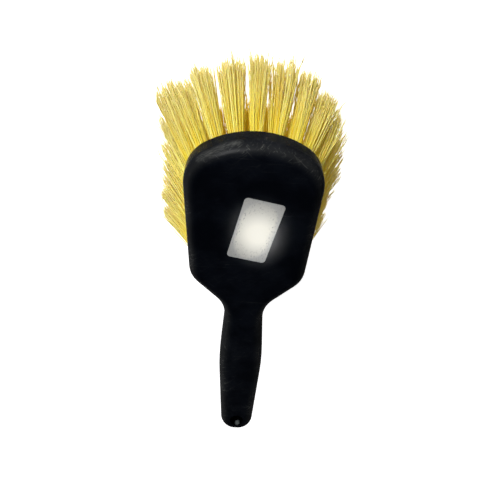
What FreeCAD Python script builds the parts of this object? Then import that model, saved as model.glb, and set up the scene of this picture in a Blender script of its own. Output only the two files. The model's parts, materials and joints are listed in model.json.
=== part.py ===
"""Staple-set wheel brush: moulded block with handle, fanned bristle tufts, wire anchors, label.

Units are millimetres and +Z is up.  The brush lies back up and bristles down, the nose of
the head points along +Y and the handle runs toward -Y, rising as it goes.
Everything is built about the middle of the head's back plane, then moved as one so that
the middle of the brush's footprint, at the height of its lowest bristle, is the origin.
"""
import os
from collections import namedtuple
from math import cos, hypot, radians, sin, tan

import FreeCAD, Part

V = FreeCAD.Vector
Z_AXIS = V(0, 0, 1)

# ---- block: plan outline, right half; each corner point has the radius that rounds it ----
NOSE_Y = 60.5
HANDLE_END_Y = -194.5
OUTLINE = [
    (14.0, NOSE_Y, 56.0),
    (43.2, 45.0, 27.0),
    (39.0, -45.4, 20.0),
    (13.4, -73.3, 28.0),
    (16.5, -125.0, 200.0),
    (11.9, HANDLE_END_Y, 11.5),
]

# ---- block: side profile and edge rounding ----
THICKNESS = 20.0
HANDLE_RISE = 13.0
BEND_Y = -62.0
BEND_RADIUS = 220.0
TOP_ROUND = 8.0
RIM_ROUND = 3.0
RIM_ROUND_ENDS_Y = -55.0
HANDLE_ROUND = 8.0
HANDLE_ROUND_STARTS_Y = -90.0

# ---- hang hole, square to the raised handle ----
HANG_HOLE_R = 5.0
HANG_HOLE_Y = -180.2

# ---- tuft rows: three arches, one inside the other, each open at the rear ----
# A tuft leans sideways in proportion to its x, by side_lean at the row's half width,
# and forward by rear_lean at the row's rear end, growing to nose_lean at its nose.
Row = namedtuple("Row", "name count half_width arch_depth rear_x rear_y side_lean nose_lean rear_lean")
ROWS = [
    Row("outer", 21, 33.0, 29.0, 30.8, -41.0, 28.0, 36.0, 4.0),
    Row("middle", 16, 20.5, 13.0, 19.0, -44.0, 14.0, 5.0, 2.0),
    Row("inner", 12, 8.0, 2.0, 7.6, -46.0, 5.0, 2.0, 0.0),
]
ARCH_Y = 22.0

# ---- tufts and their holes ----
HOLE_R = 4.0
HOLE_DEPTH = 12.0
TUFT_ROOT_R = 3.9
TUFT_TIP_R = 6.0
TUFT_LENGTH = 55.0
TIP_CROWN = 1.6
COLLAR_LENGTH = 5.0
FOLD_GAP = 0.3

# ---- flat-wire anchors driven across the holes ----
ANCHOR_LENGTH = 9.6
ANCHOR_THICKNESS = 0.5
ANCHOR_HEIGHT = 2.0
ANCHOR_DEPTH = 9.6

# ---- paper label on the back ----
LABEL_WIDTH = 25.4
LABEL_LENGTH = 48.2
LABEL_THICKNESS = 0.15
LABEL_CORNER_R = 2.5
LABEL_X = 2.9
LABEL_TURN = -11.5


# ---------------------------------------------------------------- block
def rounded_wire(corners):
    """Closed wire through the corner points, each corner rounded by a tangent arc."""
    points = [V(x, y, 0) for x, y, _ in corners]
    arcs = []
    for i, (_, _, radius) in enumerate(corners):
        corner = points[i]
        back = (points[i - 1] - corner).normalize()
        ahead = (points[(i + 1) % len(points)] - corner).normalize()
        half_angle = back.getAngle(ahead) / 2
        reach = radius / tan(half_angle)
        inward = (back + ahead).normalize()
        middle = corner + inward * (radius / sin(half_angle) - radius)
        arcs.append((corner + back * reach, middle, corner + ahead * reach))
    edges = []
    for i, (start, middle, end) in enumerate(arcs):
        edges.append(Part.Arc(start, middle, end).toShape())
        edges.append(Part.makeLine(end, arcs[(i + 1) % len(arcs)][0]))
    return Part.Wire(edges)


def plan_prism():
    left = [(-x, y, radius) for x, y, radius in reversed(OUTLINE)]
    face = Part.Face(rounded_wire(OUTLINE + left))
    face.translate(V(0, 0, -60))
    return face.extrude(V(0, 0, 120))


def bend_point(radius, part):
    """Point on the bend at this radius; part runs from 0 at the head to 1 at the handle."""
    turn = radians(HANDLE_RISE * part)
    return V(0, BEND_Y - radius * sin(turn), BEND_RADIUS - radius * cos(turn))


def handle_directions():
    """Unit vectors along the raised handle and out of its back."""
    rise = radians(HANDLE_RISE)
    return V(0, -cos(rise), sin(rise)), V(0, sin(rise), cos(rise))


def side_prism():
    """Slab of even thickness: flat over the head, then bent upward for the handle."""
    along, _ = handle_directions()
    under_radius = BEND_RADIUS + THICKNESS
    back = [bend_point(BEND_RADIUS, part) for part in (0, 0.5, 1)]
    under = [bend_point(under_radius, part) for part in (1, 0.5, 0)]
    front_top = V(0, NOSE_Y + 20, 0)
    front_under = V(0, NOSE_Y + 20, -THICKNESS)
    edges = [
        Part.makeLine(front_top, back[0]),
        Part.Arc(*back).toShape(),
        Part.makeLine(back[2], back[2] + along * 200),
        Part.makeLine(back[2] + along * 200, under[0] + along * 200),
        Part.makeLine(under[0] + along * 200, under[0]),
        Part.Arc(*under).toShape(),
        Part.makeLine(under[2], front_under),
        Part.makeLine(front_under, front_top),
    ]
    face = Part.Face(Part.Wire(edges))
    face.translate(V(-60, 0, 0))
    return face.extrude(V(120, 0, 0))


def under_round(y):
    """Rounding radius of the lower edge: small round the head, full on the handle."""
    part = (RIM_ROUND_ENDS_Y - y) / (RIM_ROUND_ENDS_Y - HANDLE_ROUND_STARTS_Y)
    return RIM_ROUND + min(max(part, 0), 1) * (HANDLE_ROUND - RIM_ROUND)


def is_wall(face):
    u0, u1, v0, v1 = face.ParameterRange
    return abs(face.normalAt((u0 + u1) / 2, (v0 + v1) / 2).z) < 0.01


def edge_roundings(body):
    """(edge number, start radius, end radius) for every edge above or below the wall."""
    walls = [face for face in body.Faces if is_wall(face)]
    roundings = []
    for number, edge in enumerate(body.Edges, 1):
        owners = [face for face in walls if any(edge.isSame(one) for one in face.Edges)]
        if len(owners) != 1:
            continue
        start = edge.valueAt(edge.FirstParameter)
        end = edge.valueAt(edge.LastParameter)
        if start.z + end.z > 2 * owners[0].BoundBox.Center.z:
            roundings.append((number, TOP_ROUND, TOP_ROUND))
        else:
            roundings.append((number, under_round(start.y), under_round(end.y)))
    return roundings


def round_edges(body):
    doc = FreeCAD.newDocument("block")
    base = doc.addObject("Part::Feature", "base")
    base.Shape = body
    fillet = doc.addObject("Part::Fillet", "fillet")
    fillet.Base = base
    fillet.Edges = edge_roundings(body)
    doc.recompute()
    rounded = fillet.Shape.copy()
    FreeCAD.closeDocument(doc.Name)
    return rounded


def hang_hole():
    along, outward = handle_directions()
    bend_end = bend_point(BEND_RADIUS, 1)
    centre = bend_end + along * ((HANG_HOLE_Y - bend_end.y) / along.y)
    return Part.makeCylinder(HANG_HOLE_R, 3 * THICKNESS, centre + outward * THICKNESS, -outward)


def make_block(hole_tools):
    body = plan_prism().common(side_prism()).removeSplitter()
    return round_edges(body).cut([hang_hole()] + hole_tools)


# ---------------------------------------------------------------- tufts
def row_path(row):
    """Points along a row: up the right side, round the nose and down the left side."""
    arch = []
    for degree in range(181):
        turn = radians(degree)
        arch.append((row.half_width * cos(turn), ARCH_Y + row.arch_depth * sin(turn)))
    return [(row.rear_x, row.rear_y)] + arch + [(-row.rear_x, row.rear_y)]


def spaced_along(path, count):
    """This many points, evenly spaced along the path from end to end."""
    lengths = [hypot(b[0] - a[0], b[1] - a[1]) for a, b in zip(path, path[1:])]
    step = sum(lengths) / (count - 1)
    spots = []
    travelled = 0.0
    for (a, b), length in zip(zip(path, path[1:]), lengths):
        while len(spots) < count and len(spots) * step <= travelled + length + 1e-6:
            part = (len(spots) * step - travelled) / length
            spots.append((a[0] + part * (b[0] - a[0]), a[1] + part * (b[1] - a[1])))
        travelled += length
    return spots


def tuft_placement(row, x, y):
    """Moves a tuft drawn about the local origin, growing along +Z, into its hole."""
    nose_y = ARCH_Y + row.arch_depth
    forward_part = (y - row.rear_y) / (nose_y - row.rear_y)
    forward = radians(row.rear_lean + forward_part * (row.nose_lean - row.rear_lean))
    sideways = radians(row.side_lean * x / row.half_width)
    grows = V(tan(sideways), tan(forward), -1)
    across = V(grows.x, grows.y, 0)
    turn = FreeCAD.Rotation(across, V(0, 0, 0), grows, "ZXY")
    return FreeCAD.Placement(V(x, y, -THICKNESS), turn)


def tuft_at_origin():
    """Bundle of bristles: straight in the hole, flaring to a crowned, trimmed end."""
    fold_z = FOLD_GAP - HOLE_DEPTH
    edge_z = TUFT_LENGTH - TIP_CROWN
    corners = [
        V(0, 0, fold_z),
        V(TUFT_ROOT_R, 0, fold_z),
        V(TUFT_ROOT_R, 0, COLLAR_LENGTH),
        V(TUFT_TIP_R, 0, edge_z),
    ]
    edges = [Part.makeLine(a, b) for a, b in zip(corners, corners[1:])]
    crown_r = (TUFT_TIP_R ** 2 + TIP_CROWN ** 2) / (2 * TIP_CROWN)
    half_x = TUFT_TIP_R / 2
    half_z = TUFT_LENGTH - crown_r + (crown_r ** 2 - half_x ** 2) ** 0.5
    tip = V(0, 0, TUFT_LENGTH)
    edges.append(Part.Arc(corners[3], V(half_x, 0, half_z), tip).toShape())
    edges.append(Part.makeLine(tip, corners[0]))
    return Part.Face(Part.Wire(edges)).revolve(V(0, 0, 0), Z_AXIS, 360)


def anchor_at_origin():
    low = V(-ANCHOR_LENGTH / 2, -ANCHOR_THICKNESS / 2, -ANCHOR_DEPTH - ANCHOR_HEIGHT / 2)
    return Part.makeBox(ANCHOR_LENGTH, ANCHOR_THICKNESS, ANCHOR_HEIGHT, low)


def hole_at_origin():
    return Part.makeCylinder(HOLE_R, HOLE_DEPTH + COLLAR_LENGTH, V(0, 0, -HOLE_DEPTH))


def placed(shape, placement):
    copy = shape.copy()
    copy.Placement = placement
    return copy


# ---------------------------------------------------------------- label
def make_label():
    half_w, half_l = LABEL_WIDTH / 2, LABEL_LENGTH / 2
    signs = [(1, 1), (1, -1), (-1, -1), (-1, 1)]
    corners = [(sx * half_w, sy * half_l, LABEL_CORNER_R) for sx, sy in signs]
    label = Part.Face(rounded_wire(corners)).extrude(V(0, 0, LABEL_THICKNESS))
    label.rotate(V(0, 0, 0), Z_AXIS, LABEL_TURN)
    label.translate(V(LABEL_X, 0, 0))
    return label


# ---------------------------------------------------------------- assembly
def make_nodes():
    anchor = anchor_at_origin()
    tuft = tuft_at_origin().cut(anchor)
    hole = hole_at_origin()
    nodes, anchors, hole_tools = {}, [], []
    for row in ROWS:
        for number, (x, y) in enumerate(spaced_along(row_path(row), row.count), 1):
            placement = tuft_placement(row, x, y)
            nodes[f"{row.name}_tuft_{number:02d}"] = placed(tuft, placement)
            anchors.append(placed(anchor, placement))
            hole_tools.append(placed(hole, placement))
    nodes["tuft_anchors"] = Part.makeCompound(anchors)
    nodes["brush_block"] = make_block(hole_tools + anchors)
    nodes["label"] = make_label()
    return nodes


def main():
    os.makedirs("parts", exist_ok=True)
    nodes = make_nodes()
    box = Part.makeCompound(list(nodes.values())).optimalBoundingBox()
    for name, shape in nodes.items():
        shape.translate(V(-box.Center.x, -box.Center.y, -box.ZMin))
        shape.exportStep(f"parts/{name}.step")
    print("back plane middle is at", -box.Center.x, -box.Center.y, -box.ZMin, "size", box)


main()
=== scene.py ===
"""Wheel brush, dressed for rendering round its CAD frame.  All lengths are in metres."""
import json
import math

import bpy
import numpy as np
from mathutils import Matrix, Vector


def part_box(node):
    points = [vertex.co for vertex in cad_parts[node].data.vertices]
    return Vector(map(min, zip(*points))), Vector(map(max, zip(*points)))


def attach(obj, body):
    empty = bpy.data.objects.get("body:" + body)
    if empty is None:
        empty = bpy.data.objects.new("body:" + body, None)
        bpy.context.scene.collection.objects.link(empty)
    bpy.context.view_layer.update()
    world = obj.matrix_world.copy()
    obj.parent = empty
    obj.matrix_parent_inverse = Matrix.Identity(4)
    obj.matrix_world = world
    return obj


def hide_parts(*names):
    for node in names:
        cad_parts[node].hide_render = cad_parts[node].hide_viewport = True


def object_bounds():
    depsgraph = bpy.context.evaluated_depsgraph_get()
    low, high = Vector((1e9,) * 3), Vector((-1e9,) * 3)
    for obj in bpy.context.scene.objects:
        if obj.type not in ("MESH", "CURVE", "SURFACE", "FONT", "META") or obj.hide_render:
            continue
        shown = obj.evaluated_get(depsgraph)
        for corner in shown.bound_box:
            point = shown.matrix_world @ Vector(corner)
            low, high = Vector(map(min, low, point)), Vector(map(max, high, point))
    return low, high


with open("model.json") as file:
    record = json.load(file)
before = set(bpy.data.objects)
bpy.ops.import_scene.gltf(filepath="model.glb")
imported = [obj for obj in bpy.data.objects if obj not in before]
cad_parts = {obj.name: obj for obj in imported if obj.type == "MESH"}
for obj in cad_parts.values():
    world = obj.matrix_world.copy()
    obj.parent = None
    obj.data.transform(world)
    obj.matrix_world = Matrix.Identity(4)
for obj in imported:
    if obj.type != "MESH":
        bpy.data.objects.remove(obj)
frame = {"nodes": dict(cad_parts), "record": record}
cad_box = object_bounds()

MM = 0.001
SEED = 606
rng = np.random.default_rng(SEED)

# ---- the head, the label and the lamp's pool on it, for the lights and the materials; the label's paper paints the pool as a highlight ----
NOSE_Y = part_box("brush_block")[1].y
LABEL_LOW, LABEL_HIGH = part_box("label")
LABEL_MIDDLE = (LABEL_LOW + LABEL_HIGH) / 2
LABEL_TURN = math.radians(11.5)
LABEL_HALF_WIDTH = 12.7 * MM
LABEL_HALF_LENGTH = 24.1 * MM
# GLOW_MIDDLE aims the spot lamp; with GLOW_R it also places the highlight painted on the label's
# paper
GLOW_MIDDLE = LABEL_MIDDLE + Vector((2.2, -1.8, 0)) * MM
GLOW_R = 27 * MM

# ---- scuffs and painted highlight on the left of the nose: a line on the block's upper rim, and its reach ----
NOSE_HIGHLIGHT_LINE = (
    Vector((-33.5 * MM, NOSE_Y - 11.0 * MM, LABEL_LOW.z - 3.0 * MM)),
    Vector((-10.8 * MM, NOSE_Y - 1.0 * MM, LABEL_LOW.z - 6.0 * MM)),
)
NOSE_HIGHLIGHT_R = 4.2 * MM

# ---- hang hole, from the record, a line right through it for the shade painted inside, and a glint painted on its rear wall ----
HOLE = next(mount for mount in frame["record"]["mounts"] if mount["name"] == "hang_hole")
HOLE_AXIS = Vector(HOLE["axis"])
HOLE_R = HOLE["dims"]["r_mm"] * MM
HOLE_LENGTH = HOLE["dims"]["length_mm"] * MM
HOLE_MOUTH = Vector(HOLE["pos_m"]) + HOLE_AXIS * HOLE_LENGTH / 2
HOLE_LINE = (HOLE_MOUTH + 2 * MM * HOLE_AXIS, HOLE_MOUTH - 1.5 * HOLE_LENGTH * HOLE_AXIS)
GLINT_TOP = HOLE_MOUTH + Vector((0.9, -4.7, 1.09)) * MM
GLINT = (GLINT_TOP - 2.0 * MM * HOLE_AXIS, GLINT_TOP - 3.5 * MM * HOLE_AXIS)
GLINT_R = 2.2 * MM

# ---- one tuft: filaments folded under the anchor, each with two legs, LEGS in all ----
LEGS = 156
TUFT_LENGTH = 55 * MM
FOLD_DEPTH = 11.7 * MM
FOLD_STEPS = ((5.0 * MM, 1.0), (9.4 * MM, 0.9), (11.1 * MM, 0.45))  # depth, share of the spread
ANCHOR_GAP = 0.16
ROOT_R = 3.6 * MM
TIP_R = 7.8 * MM
OPENING_POWER = 0.85
TUFT_LEAN = 0.7 * MM

# ---- filaments as meshes: radius, sides of the tube, steps along a leg, taper to the tip ----
FILAMENT_R = 0.30 * MM
RING = 4
STEPS = 44
TAPER = ([0, 0.75, 0.93, 1.0], [1, 1, 0.9, 0.42])
FIXED_ASIDE = np.array([0.31, 0.87, 0.38])

# ---- cut of the tips: full length, less a part drawn at random, and a few far shorter ----
LONGEST_OVER = 2.4 * MM
CUT_SHAPE = 2.0
CUT_SCALE = 1.7 * MM
CROPPED_SHARE = 0.06
CROPPED_BY = (4, 14)  # mm
FLOOR_SPREAD = 1.5 * MM

# ---- clumps: groups of legs that share a drift, a length and a wave ----
CLUMPS = 15
CLUMP_DRIFT = 0.4 * MM
CLUMP_LENGTH = 1.0 * MM
MOST_PULL = 0.25

# ---- each leg's own wandering: drift and strays, waves, and the hook at its tip ----
DRIFT = 0.8 * MM
DRIFT_POWER = 1.7
FLARE_SPREAD = 0.1
STRAY_SHARE = 0.12
STRAY_DRIFT = 3.2 * MM
WAVE_LENGTH = (5.5, 7.5)  # mm
WAVE_STARTS = 8 * MM
PHASE_SPREAD = 0.9
SWING_AT_ROOT = 0.05 * MM
SWING_GAIN = 0.17 * MM
HOOK = 0.8 * MM
HOOK_POWER = 5

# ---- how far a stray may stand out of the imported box, and how near the floor ----
PROUD = 3.9 * MM
PROUD_SOFT = 4 * MM
FLOOR_GAP = 0.7 * MM

# ---- set left by use: (root x, root y from the nose, reach, push x, push y), in mm ----
SETS = (
    (31, -37, 14, -5.5, 0),
    (14, -14, 14, -2.5, 0),
    (31, -90, 22, -2.5, 0),
    (-22, -17, 8, -2.5, 0),
    (-33, -37, 11, -3.5, 12),
    (-31, -102, 9, -6.5, -1),
    (-32, -85, 9, -4.0, 2),
    (-6.3, -25.9, 4.5, 2.0, 9),
    (6.3, -25.9, 4.5, 1.0, 7),
    (-17.3, -31.3, 5, -1.0, 7),
    (17.3, -31.3, 5, 0.0, 5),
)

# ---- how far use has opened a tuft, as a share of TIP_R; the others are drawn at random ----
OPENED = {
    "outer_tuft_01": 0.80,
    "outer_tuft_02": 0.85,
    "outer_tuft_03": 0.82,
    "outer_tuft_04": 0.88,
    "outer_tuft_05": 0.92,
    "outer_tuft_08": 0.92,
    "outer_tuft_09": 0.86,
    "outer_tuft_10": 1.17,
    "outer_tuft_11": 0.84,
    "outer_tuft_12": 1.08,
    "outer_tuft_13": 0.94,
    "outer_tuft_14": 0.84,
    "outer_tuft_15": 0.98,
    "outer_tuft_16": 0.86,
    "outer_tuft_17": 0.88,
    "outer_tuft_18": 0.84,
    "outer_tuft_19": 0.86,
    "outer_tuft_20": 0.82,
    "outer_tuft_21": 0.90,
}
USUAL_OPENING = (0.9, 1.1)
INNER_OPENING = 1.12

# ---- yellow of a tuft, from golden at 0 to straw at 1, and how far its tips pale; the inner tufts' deeper gold and less pale tips are painted shade ----
OUTER_TINT, OUTER_PALING = 0.52, 1.0
INNER_SHADE_TINT, INNER_SHADE_PALING = 0.15, 0.3
TINT_SPREAD = 0.28
TUFT_TINT_SPREAD = 0.05


# ---------------------------------------------------------------- node helpers
class Nodes:
    """Shorthand for building a material's node tree."""

    def __init__(self, name):
        self.material = bpy.data.materials.new(name)
        self.material.use_nodes = True
        self.tree = self.material.node_tree
        self.shader = self.tree.nodes["Principled BSDF"]

    def add(self, kind, inputs=None, **settings):
        node = self.tree.nodes.new(kind)
        for key, value in settings.items():
            setattr(node, key, value)
        for key, value in (inputs or {}).items():
            self.put(node.inputs[key], value)
        return node

    def put(self, socket, value):
        if isinstance(value, bpy.types.NodeSocket):
            self.tree.links.new(value, socket)
        else:
            socket.default_value = value

    def set(self, **inputs):
        for key, value in inputs.items():
            self.put(self.shader.inputs[key.replace("_", " ")], value)

    def math(self, operation, a, b=0.0, c=0.0, clamp=False):
        node = self.add("ShaderNodeMath", {0: a, 1: b, 2: c}, operation=operation, use_clamp=clamp)
        return node.outputs[0]

    def noise(self, vector, scale, detail=3.0, rough=0.5, distortion=0.0):
        values = {"Vector": vector, "Scale": scale, "Detail": detail, "Roughness": rough}
        values["Distortion"] = distortion
        return self.add("ShaderNodeTexNoise", values).outputs["Fac"]

    def ramp(self, value, *stops):
        node = self.add("ShaderNodeValToRGB", {"Fac": value})
        elements = node.color_ramp.elements
        while len(elements) < len(stops):
            elements.new(0.5)
        for element, (at, colour) in zip(elements, stops):
            element.position = at
            grey = isinstance(colour, (int, float))
            element.color = (colour, colour, colour, 1) if grey else (*colour, 1)
        return node.outputs["Color"]

    def mix(self, amount, a, b):
        node = self.add("ShaderNodeMix", data_type="RGBA")
        self.put(node.inputs[0], amount)
        for socket, value in ((node.inputs[6], a), (node.inputs[7], b)):
            self.put(socket, (*value, 1) if isinstance(value, tuple) else value)
        return node.outputs[2]

    def scaled(self, vector, x, y, z):
        node = self.add("ShaderNodeMapping", {"Vector": vector, "Scale": (x, y, z)})
        return node.outputs[0]

    def turned(self, vector, angle):
        values = {"Vector": vector, "Angle": angle}
        return self.add("ShaderNodeVectorRotate", values, rotation_type="Z_AXIS").outputs[0]

    def bump(self, height, distance, strength=1.0, normal=None):
        values = {"Height": height, "Distance": distance, "Strength": strength}
        if normal is not None:
            values["Normal"] = normal
        return self.add("ShaderNodeBump", values).outputs[0]

    def vector(self, operation, a, b=(0, 0, 0), output="Vector"):
        node = self.add("ShaderNodeVectorMath", {0: a, 1: b}, operation=operation)
        return node.outputs[output]

    def from_line(self, here, start, end):
        """Distance to the line from start to end, in metres."""
        along = end - start
        off = self.vector("SUBTRACT", here, start)
        share = self.vector("DOT_PRODUCT", off, along / along.dot(along), "Value")
        values = {0: along, "Scale": self.math("ADD", share, 0, clamp=True)}
        foot = self.add("ShaderNodeVectorMath", values, operation="SCALE")
        return self.vector("DISTANCE", off, foot.outputs[0], "Value")

    @property
    def place(self):
        return self.add("ShaderNodeTexCoord").outputs["Object"]


# ---------------------------------------------------------------- materials
def usual_wear(n, here, mottle):
    """Rubbed edges with fine crossed scratches, and faint lines and scuffs on the flats."""
    normal = n.add("ShaderNodeNewGeometry").outputs["Normal"]
    facing = n.add("ShaderNodeSeparateXYZ", {0: normal}).outputs["Z"]
    edge = n.ramp(facing, (0.15, 0.35), (0.75, 1.0), (0.995, 0.0))
    scratches = n.noise(n.scaled(n.turned(here, 0.9), 1100, 90, 300), 1, 2, 0.6, 1.2)
    crossed = n.noise(n.scaled(n.turned(here, -0.8), 1000, 80, 300), 1, 2, 0.6, 1.0)
    one_way = n.ramp(scratches, (0.60, 0), (0.70, 1))
    other_way = n.ramp(crossed, (0.62, 0), (0.72, 1))
    cuts = n.math("MAXIMUM", one_way, other_way)
    scuffs = n.math("MULTIPLY", cuts, n.ramp(mottle, (0.42, 0), (0.62, 1)))
    streaks = n.noise(n.scaled(here, 40, 900, 200), 1, 3, 0.6, 0.3)
    patches = n.ramp(mottle, (0.42, 0), (0.6, 1))
    lines = n.math("MULTIPLY", n.ramp(streaks, (0.62, 0), (0.72, 1)), patches)
    on_edges = n.math("MULTIPLY_ADD", scuffs, 0.9, n.math("MULTIPLY", mottle, 0.35))
    on_flats = n.math("MULTIPLY_ADD", lines, 0.20, n.math("MULTIPLY", scuffs, 0.07))
    return n.math("ADD", n.math("MULTIPLY", edge, on_edges), on_flats, clamp=True)


def nose_scuffs_and_painted_highlight(n, here):
    """Hatched scuffs with a painted highlight, in a broad streak along the left of the nose."""
    off_line = n.math("DIVIDE", n.from_line(here, *NOSE_HIGHLIGHT_LINE), NOSE_HIGHLIGHT_R)
    highlight_band = n.ramp(off_line, (0.0, 1.0), (0.45, 0.55), (1.0, 0.0))
    hatch = n.noise(n.scaled(n.turned(here, -0.5), 250, 2200, 1200), 1, 3, 0.7, 0.6)
    return n.math("MULTIPLY", highlight_band, n.ramp(hatch, (0.36, 0.25), (0.64, 1.0)))


def black_plastic():
    n = Nodes("moulded_black_plastic")
    here = n.place
    grain = n.noise(here, 2600, 2)
    mottle = n.noise(here, 45, 5, 0.6)
    # the nose streak is scuffs and a painted highlight; like the wear, it lightens the colour and
    # roughens the surface
    scuffs_and_highlight = n.math("MULTIPLY", nose_scuffs_and_painted_highlight(n, here), 0.9)
    wear_and_painted_highlight = n.math("MAXIMUM", usual_wear(n, here, mottle), scuffs_and_highlight)
    # painted shade: the wall inside the hang hole is drawn near black, darker than the plastic
    # round it
    off_axis = n.math("DIVIDE", n.from_line(here, *HOLE_LINE), 2 * HOLE_R)
    painted_hole_shade = n.ramp(off_axis, (0.50, 1), (0.55, 0))
    # painted glint: a small light grey patch on the hole's rear wall
    off_glint = n.math("DIVIDE", n.from_line(here, *GLINT), GLINT_R)
    glint = n.ramp(off_glint, (0.4, 1), (1.0, 0))
    patches = n.ramp(mottle, (0.40, 0), (0.62, 1))
    plain = n.mix(patches, (0.0016, 0.0022, 0.0040), (0.0040, 0.0052, 0.0082))
    # wear, and the painted highlight on the nose, draw the black towards light grey
    outside = n.mix(wear_and_painted_highlight, plain, (0.070, 0.071, 0.066))
    shaded_in_hole = n.mix(painted_hole_shade, outside, (0.0004, 0.0005, 0.0007))
    n.set(Base_Color=n.mix(glint, shaded_in_hole, (0.12, 0.135, 0.135)), Specular_IOR_Level=0.038)
    n.set(Roughness=n.math("MULTIPLY_ADD", mottle, 0.05, n.math("MULTIPLY_ADD", wear_and_painted_highlight, 0.30, 0.145)))
    low = n.bump(mottle, 0.15 * MM, 0.2)
    fine = n.bump(grain, 0.015 * MM, 0.3, low)
    n.set(Normal=n.bump(wear_and_painted_highlight, 0.03 * MM, 0.5, fine))
    return n.material


def bristle_plastic():
    """Golden to straw yellow, deepened at the roots by painted shade and paler at the tips, a
    little translucent, with a faint painted glow.
    """
    n = Nodes("yellow_bristle")
    tint = n.add("ShaderNodeAttribute", attribute_name="tint").outputs["Fac"]
    along = n.add("ShaderNodeAttribute", attribute_name="along").outputs["Fac"]
    golden, yellow, straw = (0.73, 0.52, 0.02), (0.78, 0.655, 0.085), (0.84, 0.78, 0.25)
    body = n.ramp(tint, (0.0, golden), (0.5, yellow), (1.0, straw))
    # painted shade: the colour deepens to gold towards the roots, where the head and the other
    # tufts shade the bristles
    root_painted_shade = n.mix(n.ramp(along, (0.0, 0.65), (0.28, 0.0)), body, (0.74, 0.53, 0.01))
    tipped = n.mix(n.ramp(along, (0.35, 0.0), (1.0, 0.6)), root_painted_shade, (0.70, 0.66, 0.38))
    specks = n.noise(n.place, 900, 3)
    colour = n.mix(n.math("MULTIPLY", specks, 0.2), tipped, (0.72, 0.50, 0.08))
    n.set(Base_Color=colour, Specular_IOR_Level=0.15)
    n.set(Roughness=n.math("MULTIPLY_ADD", specks, 0.2, 0.42))
    # painted light: a faint golden glow of the bristles' own, standing in for light passing through
    # them into their shaded gaps
    n.set(Emission_Color=(0.50, 0.32, 0.0, 1), Emission_Strength=0.09)
    n.set(Subsurface_Weight=0.3, Subsurface_Radius=(1.0, 0.6, 0.12), Subsurface_Scale=0.8 * MM)
    n.set(Normal=n.bump(n.noise(n.place, 2500, 2), 0.02 * MM, 0.3))
    return n.material


def label_paper():
    """Blank paper with a painted highlight, cream in the middle round GLOW_MIDDLE and greyer away
    from it and near its edges, with specks of wear near its edges.
    """
    n = Nodes("blank_label")
    here = n.place
    fibre = n.noise(here, 700, 4, 0.65)
    cloud = n.noise(here, 90, 4, 0.6)
    upright = n.turned(n.vector("SUBTRACT", here, LABEL_MIDDLE), LABEL_TURN)
    split = n.add("ShaderNodeSeparateXYZ", {0: upright}).outputs
    share_x = n.math("ABSOLUTE", n.math("DIVIDE", split["X"], LABEL_HALF_WIDTH))
    share_y = n.math("ABSOLUTE", n.math("DIVIDE", split["Y"], LABEL_HALF_LENGTH))
    out = n.math("ADD", n.math("POWER", share_x, 2.5), n.math("POWER", share_y, 2.5))
    outward = n.math("ADD", out, n.math("MULTIPLY_ADD", cloud, 0.5, -0.25), clamp=True)
    # painted highlight: the paper is drawn paler and creamier round GLOW_MIDDLE, where the spot
    # lamp's pool falls
    off_glow = n.math("DIVIDE", n.vector("DISTANCE", here, GLOW_MIDDLE, "Value"), GLOW_R)
    far_out = n.ramp(outward, (0.35, 0.0), (0.95, 1.0))
    highlight_falloff_and_grey_edge = n.math("MAXIMUM", n.ramp(off_glow, (0.25, 0.0), (1.0, 1.0)), far_out)
    paper = n.mix(highlight_falloff_and_grey_edge, (0.80, 0.775, 0.66), (0.46, 0.46, 0.44))
    specks = n.ramp(n.noise(n.scaled(upright, 900, 520, 300), 1, 3, 0.7), (0.56, 0), (0.66, 1))
    edge_only = n.ramp(outward, (0.25, 0.0), (0.55, 1.0))
    marks = n.math("MULTIPLY", n.math("MULTIPLY", specks, edge_only), 0.75)
    n.set(Base_Color=n.mix(marks, paper, (0.20, 0.20, 0.20)), Specular_IOR_Level=0.5)
    n.set(Roughness=n.math("MULTIPLY_ADD", fibre, 0.12, 0.30))
    n.set(Normal=n.bump(fibre, 0.02 * MM, 0.4))
    return n.material


def drawn_wire():
    n = Nodes("drawn_wire")
    lines = n.noise(n.scaled(n.place, 300, 300, 4000), 1, 3)
    n.set(Base_Color=n.mix(lines, (0.45, 0.45, 0.43), (0.66, 0.65, 0.62)), Metallic=1.0)
    n.set(Roughness=n.math("MULTIPLY_ADD", lines, 0.25, 0.25), Normal=n.bump(lines, 0.01 * MM, 0.4))
    return n.material


def floor_paint():
    n = Nodes("pale_floor")
    cloud = n.noise(n.place, 6, 3)
    n.set(Base_Color=n.mix(cloud, (0.93, 0.93, 0.93), (0.96, 0.96, 0.96)))
    n.set(Roughness=0.8, Specular_IOR_Level=0.1)
    n.set(Emission_Color=(1, 1, 1, 1), Emission_Strength=1.0)
    return n.material


# ---------------------------------------------------------------- tufts
def tuft_axes(node):
    """A CAD tuft's root at the hole's mouth, its direction of growth, and two directions across."""
    points = np.array([v.co for v in frame["nodes"][node].data.vertices])
    middle = points.mean(0)
    _, _, directions = np.linalg.svd(points - middle, full_matrices=False)
    grows = directions[0] * (-1 if directions[0][2] > 0 else 1)
    low = ((points - middle) @ grows).min()
    root = middle + grows * (low + FOLD_DEPTH)
    across = np.array([grows[0], grows[1], 0.0])
    across -= grows * (across @ grows)
    across /= np.linalg.norm(across)
    return root, grows, across, np.cross(grows, across)


def set_of_the_bristles(root):
    """How far use has pushed a tuft's tips, as a vector in the plane of the head."""
    push = np.zeros(3)
    nose = np.array([0, NOSE_Y])
    for x, y, reach, push_x, push_y in SETS:
        away = np.linalg.norm(root[:2] - nose - np.array([x, y]) * MM) / (reach * MM)
        push[:2] += np.exp(-away ** 2) * np.array([push_x, push_y]) * MM
    return push


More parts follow.
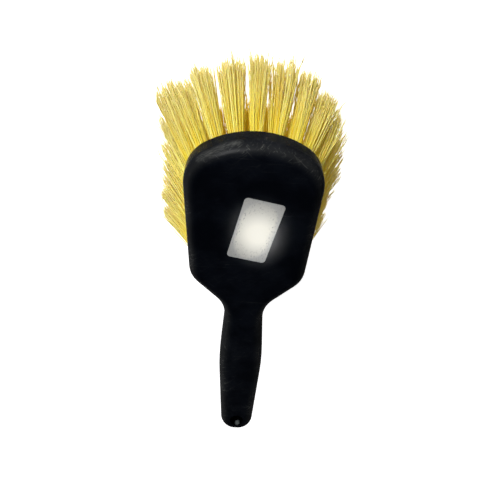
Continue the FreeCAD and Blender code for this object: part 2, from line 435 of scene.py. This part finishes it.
def spots_in_half_disc(count):
    """Even random spots in the half of a unit disc that lies to one side of the anchor."""
    spots = []
    while len(spots) < count:
        x, y = rng.uniform(-1, 1, 2)
        if x * x + y * y < 1 and y > 0.02:
            spots.append((x, y))
    return np.array(spots)


def leg_lengths(count, clump_extra, root, grows):
    """Lengths of the legs outside the block, cut by chance and by the floor."""
    length = TUFT_LENGTH + LONGEST_OVER - rng.gamma(CUT_SHAPE, CUT_SCALE, count) + clump_extra
    cropped = rng.random(count) < CROPPED_SHARE
    length[cropped] -= rng.uniform(*CROPPED_BY, cropped.sum()) * MM
    to_floor = (root[2] - FLOOR_GAP) / -grows[2]
    return np.minimum(length, to_floor - rng.uniform(0, FLOOR_SPREAD, count))


def leg_paths(spot, clumps, axes, flare, push):
    """Centre lines of the legs on one side of the anchor, from the hole's mouth to the tips."""
    root, grows, across, side = axes
    count = len(spot)
    to_clumps = np.linalg.norm(spot[:, None] - clumps["spot"][None], axis=2)
    mine = np.argmin(to_clumps, axis=1)
    length = leg_lengths(count, clumps["extra"][mine], root, grows)
    height = np.linspace(0, 1, STEPS)[None, :] * length[:, None]
    open_out = np.clip(height / TUFT_LENGTH, 0, None)
    curve = (open_out ** OPENING_POWER)[:, :, None]
    bend = (open_out ** DRIFT_POWER)[:, :, None]
    pull = rng.uniform(0.0, MOST_PULL, (count, 1))
    pulled = spot + (clumps["spot"][mine] - spot) * pull
    tip_spot = pulled * flare * (1 + rng.normal(0, FLARE_SPREAD, (count, 1)))
    drift = clumps["drift"][mine] + rng.normal(0, DRIFT, (count, 2))
    stray = rng.random(count) < STRAY_SHARE
    drift[stray] += rng.normal(0, STRAY_DRIFT, (stray.sum(), 2))
    wave_length = rng.uniform(*WAVE_LENGTH, count)[:, None] * MM
    phase = clumps["phase"][mine][:, None] + rng.normal(0, PHASE_SPREAD, count)[:, None]
    swing = (SWING_AT_ROOT + SWING_GAIN * open_out) * np.clip(height / WAVE_STARTS, 0, 1)
    wave = np.sin(2 * np.pi * height / wave_length + phase) * swing
    turn = rng.uniform(0, np.pi, count)[:, None]
    waving = np.stack([wave * np.cos(turn), wave * np.sin(turn)], axis=2)
    hook = rng.normal(0, HOOK, (count, 2))[:, None, :] * (open_out ** HOOK_POWER)[:, :, None]
    lateral = (
        spot[:, None, :] * ROOT_R * (1 - curve)
        + tip_spot[:, None, :] * curve
        + drift[:, None, :] * bend
        + waving
        + hook
    )
    return (
        root
        + height[:, :, None] * grows
        + lateral[:, :, :1] * across
        + lateral[:, :, 1:] * side
        + bend * push
    )


def kept_inside(paths):
    """Bends the outermost strays back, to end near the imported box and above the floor."""
    limit = cad_box[1].x + PROUD
    over = np.clip(np.abs(paths[..., 0]) - (limit - PROUD_SOFT), 0, None)
    back = over - PROUD_SOFT * (1 - np.exp(-over / PROUD_SOFT))
    paths[..., 0] -= np.sign(paths[..., 0]) * back
    under = np.clip(2 * FLOOR_GAP - paths[..., 2], 0, None)
    paths[..., 2] += under - FLOOR_GAP * (1 - np.exp(-under / FLOOR_GAP))
    return paths


def make_clumps():
    """Where a tuft's clumps stand in a unit disc, and what the legs in each of them share."""
    lean = rng.normal(0, TUFT_LEAN, 2)
    radius = np.sqrt(rng.random(CLUMPS))
    around = rng.uniform(0, 2 * np.pi, CLUMPS)
    return {
        "spot": np.stack([radius * np.cos(around), radius * np.sin(around)], axis=1),
        "drift": rng.normal(0, CLUMP_DRIFT, (CLUMPS, 2)) + lean,
        "extra": rng.normal(0, CLUMP_LENGTH, CLUMPS),
        "phase": rng.uniform(0, 2 * np.pi, CLUMPS),
    }


def fold_points(spot, sign, axes):
    """Points of the filaments inside the hole, from its mouth down past one side of the anchor."""
    root, grows, across, side = axes
    points = []
    for depth, share in FOLD_STEPS:
        beside = (ANCHOR_GAP * sign + spot[:, 1:] * (1 - ANCHOR_GAP)) * share
        flat = spot[:, :1] * across + beside * side
        points.append((root - depth * grows + flat * ROOT_R)[:, None])
    return points


def strand_paths(axes, opened):
    """Centre lines of one tuft's filaments, each folded under the anchor: tip, fold, tip."""
    push = set_of_the_bristles(axes[0])
    clumps = make_clumps()
    tips, folds = [], []
    for sign in (1, -1):
        spot = spots_in_half_disc(LEGS // 2) * (1, sign)
        tips.append(leg_paths(spot, clumps, axes, TIP_R * opened, push))
        folds.append(fold_points(spot, sign, axes))
    whole = [tips[0][:, ::-1], *folds[0], *reversed(folds[1]), tips[1]]
    return kept_inside(np.concatenate(whole, axis=1))


def tubes(paths, tints):
    """Vertices, faces and per-vertex values of square-section tubes along the paths."""
    count, length, _ = paths.shape
    ahead = np.gradient(paths, axis=1)
    ahead /= np.linalg.norm(ahead, axis=2, keepdims=True) + 1e-12
    aside = np.cross(ahead, FIXED_ASIDE)
    aside /= np.linalg.norm(aside, axis=2, keepdims=True)
    other = np.cross(ahead, aside)
    where = np.abs(np.linspace(-1, 1, length))
    radius = FILAMENT_R * np.interp(where, *TAPER)
    angle = np.arange(RING) * 2 * np.pi / RING
    ring = (
        aside[:, :, None] * np.cos(angle)[None, None, :, None]
        + other[:, :, None] * np.sin(angle)[None, None, :, None]
    )
    points = paths[:, :, None] + ring * radius[None, :, None, None]
    index = np.arange(count * length * RING).reshape(count, length, RING)
    a, b = index[:, :-1], index[:, 1:]
    quads = np.stack([a, np.roll(a, -1, 2), np.roll(b, -1, 2), b], -1).reshape(-1, 4)
    caps = np.concatenate([index[:, 0, ::-1], index[:, -1]]).reshape(-1, RING)
    tint = np.broadcast_to(tints[:, None, None], index.shape).reshape(-1)
    along = np.broadcast_to(where[None, :, None], index.shape).reshape(-1)
    return points.reshape(-1, 3), np.concatenate([quads, caps]), tint, along


def mesh_piece(name, points, faces, values, material):
    mesh = bpy.data.meshes.new(name)
    mesh.vertices.add(len(points))
    mesh.vertices.foreach_set("co", points.astype(np.float32).ravel())
    mesh.loops.add(faces.size)
    mesh.loops.foreach_set("vertex_index", faces.astype(np.int32).ravel())
    mesh.polygons.add(len(faces))
    starts = np.arange(0, faces.size, faces.shape[1], dtype=np.int32)
    mesh.polygons.foreach_set("loop_start", starts)
    mesh.update(calc_edges=True)
    for key, data in values.items():
        layer = mesh.attributes.new(key, "FLOAT", "POINT")
        layer.data.foreach_set("value", data.astype(np.float32))
    mesh.polygons.foreach_set("use_smooth", np.ones(len(faces), bool))
    mesh.materials.append(material)
    piece = bpy.data.objects.new(name, mesh)
    bpy.context.scene.collection.objects.link(piece)
    return piece


def make_tufts():
    material = bristle_plastic()
    for node in sorted(name for name in frame["nodes"] if "_tuft_" in name):
        outer = node.startswith("outer")
        usual = rng.uniform(*USUAL_OPENING) * (1.0 if outer else INNER_OPENING)
        paths = strand_paths(tuft_axes(node), OPENED.get(node, usual))
        # inner tufts: deeper gold and less pale tips, as painted shade
        middle, paling = (OUTER_TINT, OUTER_PALING) if outer else (INNER_SHADE_TINT, INNER_SHADE_PALING)
        tints = rng.normal(middle, TINT_SPREAD, len(paths)) + rng.normal(0, TUFT_TINT_SPREAD)
        points, faces, tint, along = tubes(paths, np.clip(tints, 0, 1))
        values = {"tint": tint, "along": along * paling}
        piece = mesh_piece("bristles_" + node, points, faces, values, material)
        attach(piece, "root")
        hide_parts(node)


# ---------------------------------------------------------------- CAD nodes that stay
def dress(node, material):
    shown = frame["nodes"][node]
    shown.data.materials.clear()
    shown.data.materials.append(material)


# ---------------------------------------------------------------- stage
# Floor, far white wall, grey flag on the right, the world's low walls, and three lamps.
STAGE_R = 4.0
BACKDROP_R = 3.8
BACKDROP_FOOT = -0.01
BACKDROP_SIDES = 96
FLAG_X = 0.10
FLAG_Y = (-0.06, 0.17)
FLAG_Z = (0.002, 0.07)
WALL_LEFT, WALL_RIGHT = 0.26, 0.05
KEY_AT, KEY_SIZE, KEY_POWER = (-0.42, 0.80, 0.72), 0.42, 5.2
FRONT_AT, FRONT_SIZE, FRONT_POWER = (-0.35, 0.78, 0.68), 0.65, 5.6
SPOT_AWAY = 0.9
SPOT_POWER = 11
SPOT_ANGLE = math.radians(2.6)
SPOT_R = 0.008


def backdrop_paint():
    n = Nodes("pale_backdrop")
    cloud = n.noise(n.place, 0.8, 2)
    n.set(Base_Color=n.mix(cloud, (0.90, 0.90, 0.90), (0.94, 0.94, 0.94)), Roughness=0.9)
    n.set(Emission_Color=(1, 1, 1, 1), Emission_Strength=0.99)
    return n.material


def staged(name, mesh, material):
    mesh.materials.append(material)
    piece = bpy.data.objects.new(name, mesh)
    bpy.context.scene.collection.objects.link(piece)
    return piece


def make_floor():
    mesh = bpy.data.meshes.new("floor")
    corners = [(x * STAGE_R, y * STAGE_R, 0) for x, y in ((-1, -1), (1, -1), (1, 1), (-1, 1))]
    mesh.from_pydata(corners, [], [(0, 1, 2, 3)])
    floor = staged("floor", mesh, floor_paint())
    floor.visible_glossy = False


def make_backdrop():
    """A round white wall far behind, there for the camera only: it adds no light or reflection."""
    sides = BACKDROP_SIDES
    angles = [2 * math.pi * k / sides for k in range(sides)]
    ring = [(math.cos(a) * BACKDROP_R, math.sin(a) * BACKDROP_R) for a in angles]
    points = [(x, y, z) for z in (BACKDROP_FOOT, STAGE_R) for x, y in ring]
    faces = [(k, (k + 1) % sides, sides + (k + 1) % sides, sides + k) for k in range(sides)]
    mesh = bpy.data.meshes.new("backdrop")
    mesh.from_pydata(points, [], faces)
    wall = staged("backdrop", mesh, backdrop_paint())
    wall.visible_diffuse = False
    wall.visible_glossy = False
    wall.visible_transmission = False
    wall.visible_shadow = False


def flag_paint():
    n = Nodes("grey_card")
    cloud = n.noise(n.place, 40, 2)
    n.set(Base_Color=n.mix(cloud, (0.16, 0.16, 0.16), (0.20, 0.20, 0.20)), Roughness=0.9)
    return n.material


def make_flag():
    """A grey card, unseen by the camera, that keeps the floor's light off the right side."""
    mesh = bpy.data.meshes.new("flag")
    (near, far), (low, high) = FLAG_Y, FLAG_Z
    corners = [(FLAG_X, y, z) for y, z in ((near, low), (far, low), (far, high), (near, high))]
    mesh.from_pydata(corners, [], [(0, 1, 2, 3)])
    flag = staged("flag", mesh, flag_paint())
    flag.visible_camera = False
    flag.visible_glossy = False


def lamp(data, at, aim):
    """Puts a lamp at one place and points it at another."""
    light = bpy.data.objects.new(data.name, data)
    light.location = at
    light.rotation_mode = "QUATERNION"
    light.rotation_quaternion = (Vector(aim) - Vector(at)).to_track_quat("-Z", "Y")
    bpy.context.scene.collection.objects.link(light)


def area_light(name, at, size, power):
    data = bpy.data.lights.new(name, "AREA")
    data.shape = "DISK"
    data.size = size
    data.energy = power
    lamp(data, at, LABEL_MIDDLE)


def spot_on_label():
    """A narrow lamp that the back mirrors into the camera, with a soft pool on the label."""
    data = bpy.data.lights.new("spot", "SPOT")
    data.energy = SPOT_POWER
    data.spot_size = SPOT_ANGLE
    data.spot_blend = 1.0
    data.shadow_soft_size = SPOT_R
    seen_from = (CAMERA_AT - GLOW_MIDDLE).normalized()
    mirrored = Vector((-seen_from.x, -seen_from.y, seen_from.z))
    lamp(data, GLOW_MIDDLE + SPOT_AWAY * mirrored, GLOW_MIDDLE)


def make_world():
    """White walls low all round, dark overhead, so that the flat black back stays black."""
    world = bpy.data.worlds.new("studio")
    world.use_nodes = True
    tree = world.node_tree
    direction = tree.nodes.new("ShaderNodeTexCoord")
    split = tree.nodes.new("ShaderNodeSeparateXYZ")
    ramp = tree.nodes.new("ShaderNodeValToRGB")
    low, high = ramp.color_ramp.elements
    low.position = 0.14
    low.color = (1, 1, 1, 1)
    high.position = 0.40
    high.color = (0.020, 0.024, 0.034, 1)
    tree.links.new(direction.outputs["Generated"], split.inputs[0])
    tree.links.new(split.outputs["Z"], ramp.inputs["Fac"])
    across = tree.nodes.new("ShaderNodeMapRange")
    across.inputs["From Min"].default_value = -1
    across.inputs["To Min"].default_value = WALL_LEFT
    across.inputs["To Max"].default_value = WALL_RIGHT
    tree.links.new(split.outputs["X"], across.inputs["Value"])
    tree.links.new(across.outputs["Result"], tree.nodes["Background"].inputs["Strength"])
    tree.links.new(ramp.outputs["Color"], tree.nodes["Background"].inputs["Color"])
    bpy.context.scene.world = world


def make_lights():
    make_world()
    area_light("key", KEY_AT, KEY_SIZE, KEY_POWER)
    area_light("front", FRONT_AT, FRONT_SIZE, FRONT_POWER)
    spot_on_label()


# ---------------------------------------------------------------- camera
CAMERA_FROM_LABEL = Vector((-0.01177, 0.21815, 0.26335))
CAMERA_AT = Vector((0, LABEL_MIDDLE.y, LABEL_LOW.z)) + CAMERA_FROM_LABEL
CAMERA_FORWARD = Vector((0.01602, -0.65030, -0.75951))
CAMERA_RIGHT = Vector((0.99850, 0.05019, -0.02192))
LENS = 41.25
SENSOR_WIDTH = 36
CLIP_START = 0.01


def make_camera():
    data = bpy.data.cameras.new("camera")
    data.lens = LENS
    data.sensor_width = SENSOR_WIDTH
    data.clip_start = CLIP_START
    camera = bpy.data.objects.new("camera", data)
    back = -CAMERA_FORWARD.normalized()
    up = back.cross(CAMERA_RIGHT).normalized()
    right = up.cross(back)
    turn = Matrix((right, up, back)).transposed()
    camera.matrix_world = Matrix.Translation(CAMERA_AT) @ turn.to_4x4()
    bpy.context.scene.collection.objects.link(camera)
    bpy.context.scene.camera = camera


make_camera()
make_floor()
make_backdrop()
make_flag()
make_lights()
bpy.context.scene.view_settings.view_transform = "Standard"
dress("brush_block", black_plastic())
dress("label", label_paper())
dress("tuft_anchors", drawn_wire())
make_tufts()
